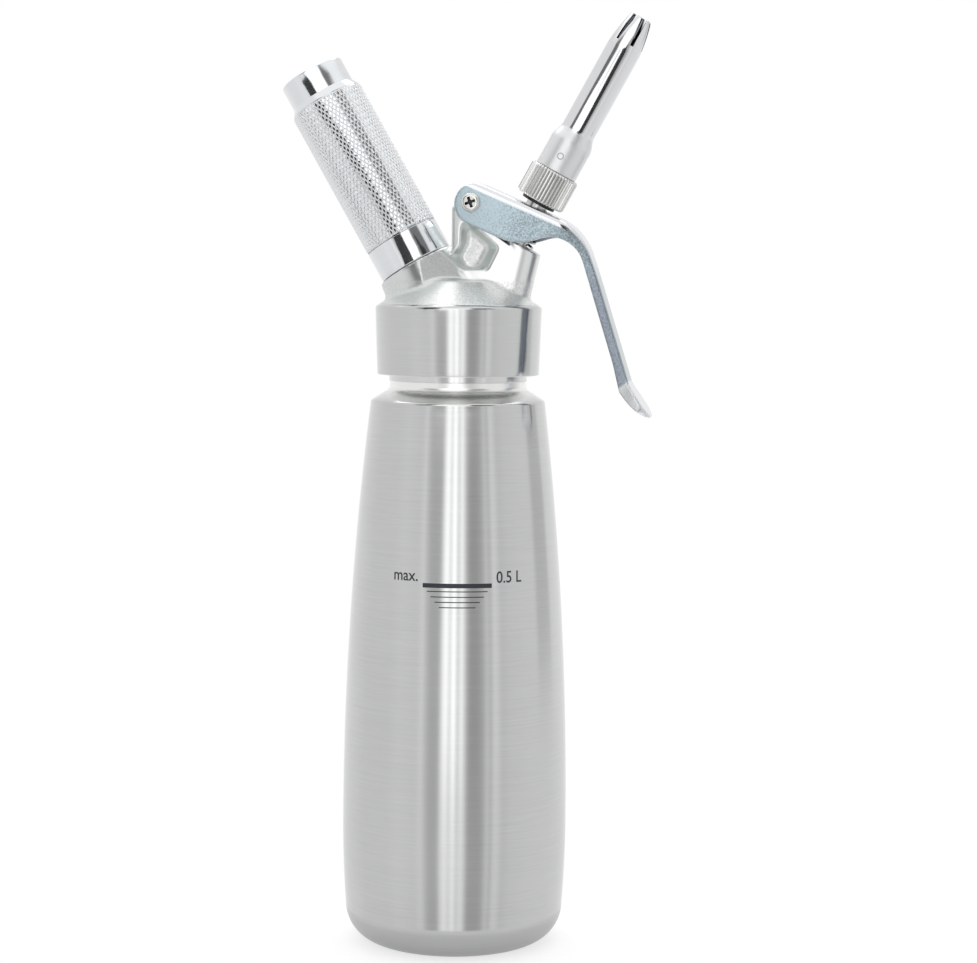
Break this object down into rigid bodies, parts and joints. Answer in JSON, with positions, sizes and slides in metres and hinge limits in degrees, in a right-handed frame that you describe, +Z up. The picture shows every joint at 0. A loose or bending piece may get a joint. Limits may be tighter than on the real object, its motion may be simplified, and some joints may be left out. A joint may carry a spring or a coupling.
{
  "type": "whipped cream dispenser",
  "caption": "Steel bottle with a screwed cast head, a knurled gas charger holder leaning one way, and a sprung valve, hand lever and slotted nozzle leaning the other.",
  "frame": {"origin": "centre of the bottle's flat foot, on the surface it stands on", "axes": "+Z up along the bottle's axis, +X towards the nozzle and lever, -X towards the charger holder, -Y towards the head of the lever's screw"},
  "size_m": [0.1294, 0.0776, 0.3202],
  "materials": {
    "bottle_steel": "drawn stainless sheet, fine brushing round the bottle",
    "neck_steel": "turned stainless, fine rings",
    "black_rubber": "smooth matte rubber",
    "head_steel": "polished stainless casting, blasted in its recesses, brushed skirt",
    "turned_steel": "fine turned stainless",
    "pin_steel": "hard bright steel",
    "pale_silicone": "matte silicone",
    "holder_aluminium": "bright turned aluminium with a diamond knurl",
    "charger_steel": "plain drawn steel",
    "lever_zinc": "bluish zinc plate on pressed steel, polished bends",
    "screw_steel": "bright machine screw",
    "spring_steel": "drawn spring wire",
    "adapter_nickel": "nickel plate, slightly warm, fluted",
    "tip_steel": "polished tube with a satin bulb"
  },
  "bodies": {
    "bottle": {"bottle": "bottle_steel", "threaded_neck": "neck_steel"},
    "gasket": {"head_gasket": "black_rubber"},
    "head": {"head_casting": "head_steel", "inlet_stud": "turned_steel", "piercing_pin": "pin_steel", "pin_seal": "black_rubber", "check_valve": "pale_silicone", "pivot_bush": "turned_steel", "lever_screw": "screw_steel", "lever_nut": "screw_steel", "valve_spring": "spring_steel"},
    "lever": {"lever": "lever_zinc"},
    "stem": {"valve_stem": "turned_steel", "stem_collar": "turned_steel", "retaining_ring": "spring_steel", "stem_o_rings": "black_rubber", "valve_seal": "black_rubber"},
    "adapter_seal": {"adapter_seal": "black_rubber"},
    "adapter": {"nozzle_adapter": "adapter_nickel"},
    "tip": {"decorating_tip": "tip_steel"},
    "charger": {"gas_charger": "charger_steel"},
    "holder": {"charger_holder": "holder_aluminium"}
  },
  "joints": [
    {"name": "head_lift", "type": "slide", "parent": "bottle", "child": "gasket", "axis": [0, 0, 1], "range_m": [0, 0.03]},
    {"name": "head_spin", "type": "hinge", "parent": "gasket", "child": "head", "pos_m": [0, 0, 0.2], "axis": [0, 0, 1], "range_deg": [0, 810]},
    {"name": "lever_squeeze", "type": "hinge", "parent": "head", "child": "lever", "pos_m": [0.0057, 0, 0.256], "axis": [0, 1, 0], "range_deg": [0, 13], "stiffness_Nm_per_rad": 8, "springref_deg": -4.58},
    {"name": "valve_stroke", "type": "slide", "parent": "head", "child": "stem", "axis": [-0.4848, 0, -0.8746], "range_m": [0, 0.0045], "deforming": ["valve_spring"]},
    {"name": "adapter_off", "type": "slide", "parent": "stem", "child": "adapter_seal", "axis": [0.4848, 0, 0.8746], "range_m": [0, 0.014]},
    {"name": "adapter_spin", "type": "hinge", "parent": "adapter_seal", "child": "adapter", "pos_m": [0.02909, 0, 0.25928], "axis": [0.4848, 0, 0.8746], "range_deg": [0, 1800]},
    {"name": "tip_off", "type": "slide", "parent": "adapter", "child": "tip", "axis": [0.4848, 0, 0.8746], "range_m": [0, 0.012]},
    {"name": "holder_off", "type": "slide", "parent": "head", "child": "charger", "axis": [-0.5, 0, 0.866], "range_m": [0, 0.02]},
    {"name": "holder_spin", "type": "hinge", "parent": "charger", "child": "holder", "pos_m": [-0.03, 0, 0.26116], "axis": [-0.5, 0, 0.866], "range_deg": [0, 1980]}
  ],
  "couplings": [
    {"joint": "valve_stroke", "follows": "lever_squeeze", "m_per_rad": 0.0195}
  ]
}
